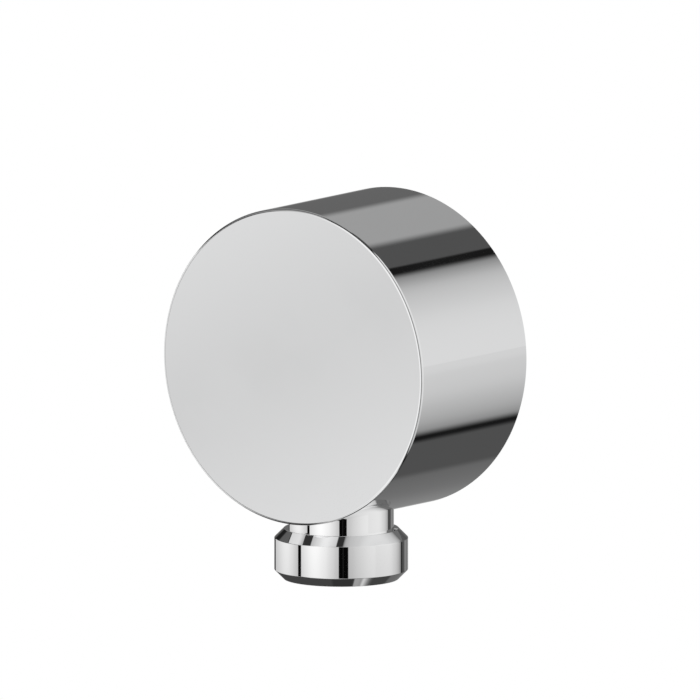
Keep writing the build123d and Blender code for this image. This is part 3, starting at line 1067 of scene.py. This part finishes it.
def make_valve_housing(material):
    """The valve's sleeve: seat above, ring groove outside, and a lip below that holds the guide."""
    ring_low, ring_high = box("valve_seal_ring")
    ring_z = (ring_low.z + ring_high.z) / 2
    seat = VALVE_TOP - SEAT_HEIGHT
    lip_top = VALVE_BOTTOM + LIP_HEIGHT
    housing = turned(
        "housing",
        [
            (SEAT_RADIUS + SEAT_CHAMFER, VALVE_TOP),
            (VALVE_RADIUS, VALVE_TOP),
            (VALVE_RADIUS, ring_z + VALVE_GROOVE_HALF),
            (VALVE_GROOVE_RADIUS, ring_z + VALVE_GROOVE_HALF),
            (VALVE_GROOVE_RADIUS, ring_z - VALVE_GROOVE_HALF),
            (VALVE_RADIUS, ring_z - VALVE_GROOVE_HALF),
            (VALVE_RADIUS, VALVE_BOTTOM),
            (CAVITY_RADIUS - LIP_GRIP, VALVE_BOTTOM),
            (CAVITY_RADIUS - LIP_GRIP, lip_top),
            (CAVITY_RADIUS, lip_top),
            (CAVITY_RADIUS, seat),
            (SEAT_RADIUS, seat),
            (SEAT_RADIUS, VALVE_TOP - SEAT_CHAMFER),
        ],
        STUB_STEPS,
        [
            (VALVE_RADIUS, VALVE_TOP, MOULD_ROUND, 3),
            (VALVE_RADIUS, VALVE_BOTTOM, MOULD_ROUND * 1.5, 3),
            (CAVITY_RADIUS - LIP_GRIP, VALVE_BOTTOM, MOULD_ROUND, 3),
        ],
    )
    stand_at(housing, OUTLET_Y)
    return finish(housing, "valve_housing", "fitting", material)


def make_valve_guide(material):
    """The spoked disc: rim and hub joined by four spokes, all edges eased as moulded."""
    inner = GUIDE_RADIUS - GUIDE_RIM
    low, high = GUIDE_BOTTOM, GUIDE_TOP
    rim_corners = [(inner, low), (GUIDE_RADIUS, low), (GUIDE_RADIUS, high), (inner, high)]
    guide = turned("guide", rim_corners, SMALL_STEPS, [(r, h, MOULD_ROUND, 3) for r, h in rim_corners])
    hub_corners = [(GUIDE_HOLE, low), (GUIDE_HUB, low), (GUIDE_HUB, high), (GUIDE_HOLE, high)]
    hub = turned("hub", hub_corners, SMALL_STEPS, [(r, h, MOULD_ROUND, 3) for r, h in hub_corners[1:3]])
    reach = (GUIDE_RADIUS + inner) / 2
    for spin in (0, 90):
        deselect()
        bpy.ops.mesh.primitive_cube_add(size=1, location=(0, 0, (low + high) / 2))
        spoke = bpy.context.object
        spoke.scale = (2 * reach, GUIDE_SPOKE, high - low - SPOKE_SHY)
        spoke.rotation_euler = (0, 0, math.radians(spin))
        bpy.ops.object.transform_apply(location=True, rotation=True, scale=True)
        bpy.ops.object.mode_set(mode="EDIT")
        bpy.ops.mesh.select_all(action="SELECT")
        bpy.ops.mesh.bevel(offset=MOULD_ROUND, segments=3, clamp_overlap=True)
        bpy.ops.object.mode_set(mode="OBJECT")
        cut(spoke, rod((GUIDE_HUB + GUIDE_HOLE) / 2, low - CUT_PAST / 2, high + CUT_PAST / 2))
        join(guide, spoke)
    join(guide, hub)
    stand_at(guide, OUTLET_Y)
    return finish(guide, "valve_guide", "fitting", material)


def make_poppet(material):
    """Stem, head and the rounded nose that holds the rubber ring."""
    stem_end, top = poppet_low.z, poppet_high.z
    head_bottom = SEAL_BOTTOM - HEAD_HEIGHT
    poppet = turned(
        "poppet",
        [
            (STEM_RADIUS, stem_end),
            (STEM_RADIUS, head_bottom),
            (POPPET_RADIUS, head_bottom),
            (POPPET_RADIUS, SEAL_BOTTOM),
            (POPPET_NECK, SEAL_BOTTOM),
            (POPPET_NECK, SEAL_TOP),
            (POPPET_NOSE, SEAL_TOP),
            (POPPET_NOSE / 2, top),
        ],
        SMALL_STEPS,
        [
            (STEM_RADIUS, stem_end, POPPET_ROUND, 4),
            (STEM_RADIUS, head_bottom, POPPET_FILLET, 3),
            (POPPET_RADIUS, head_bottom, POPPET_ROUND, 4),
            (POPPET_NOSE, SEAL_TOP, NOSE_EDGE, 3),
            (POPPET_NOSE / 2, top, NOSE_ROUND, 4),
        ],
        closed=False,
    )
    stand_at(poppet, OUTLET_Y)
    return finish(poppet, "valve_poppet", "poppet", material)


def make_poppet_seal(material):
    """The flat rubber ring that closes on the seat, its outer edges eased."""
    inner = POPPET_NECK + PLAY
    corners = [
        (inner, SEAL_BOTTOM), (POPPET_RADIUS, SEAL_BOTTOM),
        (POPPET_RADIUS, SEAL_TOP), (inner, SEAL_TOP),
    ]
    seal = turned("seal", corners, SMALL_STEPS, [(r, h, SEAL_ROUND, 3) for r, h in corners[1:3]])
    stand_at(seal, OUTLET_Y)
    return finish(seal, "poppet_seal", "poppet", material)


def make_spring(material):
    """A round-wire coil between the guide's hub and the poppet's head; the real one grows shorter as the
    poppet opens, this one keeps one length.
    """
    low = spring_low.z + SPRING_WIRE
    height = spring_high.z - SPRING_WIRE - low
    deselect()
    bpy.ops.mesh.primitive_circle_add(
        vertices=16, radius=SPRING_WIRE,
        location=(SPRING_RADIUS, 0, low), rotation=(math.radians(90), 0, 0),
    )
    spring = bpy.context.object
    bpy.ops.object.transform_apply(location=True, rotation=True, scale=True)
    wound(spring, height / SPRING_TURNS, SPRING_TURNS, SPRING_STEPS)
    pick(spring, "FACE", lambda corners: len(corners) > 4)
    bpy.ops.mesh.inset(thickness=SPRING_WIRE * 0.3, depth=SPRING_WIRE * 0.12)
    bpy.ops.object.mode_set(mode="OBJECT")
    stand_at(spring, OUTLET_Y)
    finish(spring, "valve_spring", "fitting", material)
    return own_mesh(spring)


# Camera, lamps and floor

CAMERA_BEARING = 35.83
CAMERA_HEIGHT = 8.711
PICTURE_WIDTH = 109.54
# The picture's middle, from the middle of the drum's front face, across and up in the picture
PICTURE_MIDDLE = (8.986, 2.708)
CAMERA_DISTANCE = 400.0
# The lamp and the floor, in metres and watts
LAMP_PLACE = Vector((-0.35, -0.5, 0.55))
LAMP_SIZE = 0.6
LAMP_POWER = 1.6
FLOOR_RADIUS = 0.32
FLOOR_HEIGHT = -0.13
# The face card in metres; its valley runs up to the right, in millimetres on the face
FACE_CARD_DISTANCE = 2.0
FACE_CARD_SIZE = 0.062
VALLEY_SLOPE = 0.5
VALLEY_HEIGHT = 1.8
VALLEY_LEVEL = 0.664
VALLEY_RISE = 0.0044
VALLEY_EASE = 6.0


def make_camera():
    """A very long lens, drawn as a parallel view, turned and framed as the photograph is."""
    data = bpy.data.cameras.new("camera")
    data.type = "ORTHO"
    data.ortho_scale = PICTURE_WIDTH * MM
    data.clip_start = 0.01
    data.clip_end = 20
    camera = bpy.data.objects.new("camera", data)
    bpy.context.scene.collection.objects.link(camera)
    tilt = math.radians(CAMERA_HEIGHT)
    level = compass(CAMERA_BEARING)
    back = level * math.cos(tilt) + UP * math.sin(tilt)
    right = compass(CAMERA_BEARING + 90)
    up = back.cross(right)
    middle = Vector((0, -DRUM_DEPTH, 0)) + right * PICTURE_MIDDLE[0] + up * PICTURE_MIDDLE[1]
    camera.location = (middle + back * CAMERA_DISTANCE) * MM
    camera.rotation_mode = "QUATERNION"
    camera.rotation_quaternion = (-back).to_track_quat("-Z", "Y")
    bpy.context.scene.camera = camera


def make_lamp():
    """One large soft lamp, above and in front on the left, for what isn't a mirror."""
    data = bpy.data.lights.new("soft_lamp", "AREA")
    data.shape = "SQUARE"
    data.size = LAMP_SIZE
    data.energy = LAMP_POWER
    lamp = bpy.data.objects.new("soft_lamp", data)
    bpy.context.scene.collection.objects.link(lamp)
    lamp.location = LAMP_PLACE
    lamp.rotation_mode = "QUATERNION"
    lamp.rotation_quaternion = (-LAMP_PLACE).to_track_quat("-Z", "Y")
    lamp.visible_camera = False
    lamp.visible_glossy = False


def make_floor():
    """A plain pale floor well below the fitting, out of the picture and of its reflections."""
    deselect()
    bpy.ops.mesh.primitive_circle_add(
        vertices=96, radius=FLOOR_RADIUS, fill_type="NGON", location=(0, 0, FLOOR_HEIGHT)
    )
    floor = bpy.context.object
    floor.name = "floor"
    material, tree, shader, place = new_material("pale_floor")
    speckle = grain(tree, place, 40.0)
    colour = tint(tree, speckle, (0.93, 0.93, 0.93), (0.95, 0.95, 0.95))
    tree.links.new(colour, shader.inputs["Base Color"])
    shader.inputs["Roughness"].default_value = 0.9
    floor.data.materials.append(material)
    floor.visible_glossy = False


def make_face_card():
    """A pale card far out in front on the left, seen only in the flat face: a soft diagonal valley."""
    tilt = math.radians(CAMERA_HEIGHT)
    level = compass(-CAMERA_BEARING)
    away = level * math.cos(tilt) - UP * math.sin(tilt)
    middle = Vector((0, -DRUM_DEPTH * MM, 0)) + away * FACE_CARD_DISTANCE
    deselect()
    bpy.ops.mesh.primitive_plane_add(
        size=FACE_CARD_SIZE, location=middle, rotation=(math.radians(90), 0, 0)
    )
    card = bpy.context.object
    card.name = "face_card"
    material = bpy.data.materials.new("face_card")
    material.use_nodes = True
    tree = material.node_tree
    tree.nodes.clear()
    place = add(tree, "ShaderNodeTexCoord").outputs["Object"]
    slope = Vector((-VALLEY_SLOPE, 1, 0)).normalized() / MM
    from_valley = maths(tree, "SUBTRACT", dot(tree, place, slope), VALLEY_HEIGHT)
    far = maths(tree, "ABSOLUTE", from_valley)
    eased = maths(tree, "SQRT", maths(tree, "MULTIPLY_ADD", far, far, VALLEY_EASE))
    level_there = maths(tree, "MULTIPLY_ADD", eased, VALLEY_RISE, VALLEY_LEVEL)
    glow = add(tree, "ShaderNodeEmission")
    tree.links.new(level_there, glow.inputs["Strength"])
    output = add(tree, "ShaderNodeOutputMaterial")
    tree.links.new(glow.outputs[0], output.inputs["Surface"])
    card.data.materials.append(material)
    card.visible_camera = False
    card.visible_diffuse = False
    card.visible_shadow = False


def build():
    scene = bpy.context.scene
    scene.view_settings.view_transform = "Standard"
    drum_chrome = chrome("drum_chrome", cast_inside=True)
    stub_chrome = chrome("stub_chrome", cast_inside=False)
    brass = turned_metal(
        "turned_brass", (0.74, 0.53, 0.24), (0.83, 0.62, 0.31), rough=0.2, axis="Y", feed_mark=0.22
    )
    steel = turned_metal(
        "bare_steel", (0.5, 0.5, 0.51), (0.62, 0.62, 0.63), rough=0.26, axis="Z", feed_mark=0.18
    )
    black_rubber = rubber("black_rubber", (0.014, 0.014, 0.015), 0.5)
    gasket_rubber = rubber("gasket_rubber", (0.05, 0.05, 0.052), 0.62)
    plastic = moulded_plastic("valve_plastic", (0.78, 0.79, 0.77))
    make_drum(drum_chrome)
    make_outlet_nipple(stub_chrome)
    make_wall_nipple(brass)
    make_locking_screw(steel)
    make_seal_ring("nipple_seal_ring", black_rubber, lying=False)
    make_seal_ring("valve_seal_ring", black_rubber, lying=False)
    make_seal_ring("spigot_seal_ring_front", black_rubber, lying=True)
    make_seal_ring("spigot_seal_ring_back", black_rubber, lying=True)
    make_gasket(gasket_rubber)
    make_valve_housing(plastic)
    make_valve_guide(plastic)
    make_poppet(plastic)
    make_poppet_seal(black_rubber)
    make_spring(steel)
    build_world()
    make_camera()
    make_lamp()
    make_floor()
    make_face_card()


build()
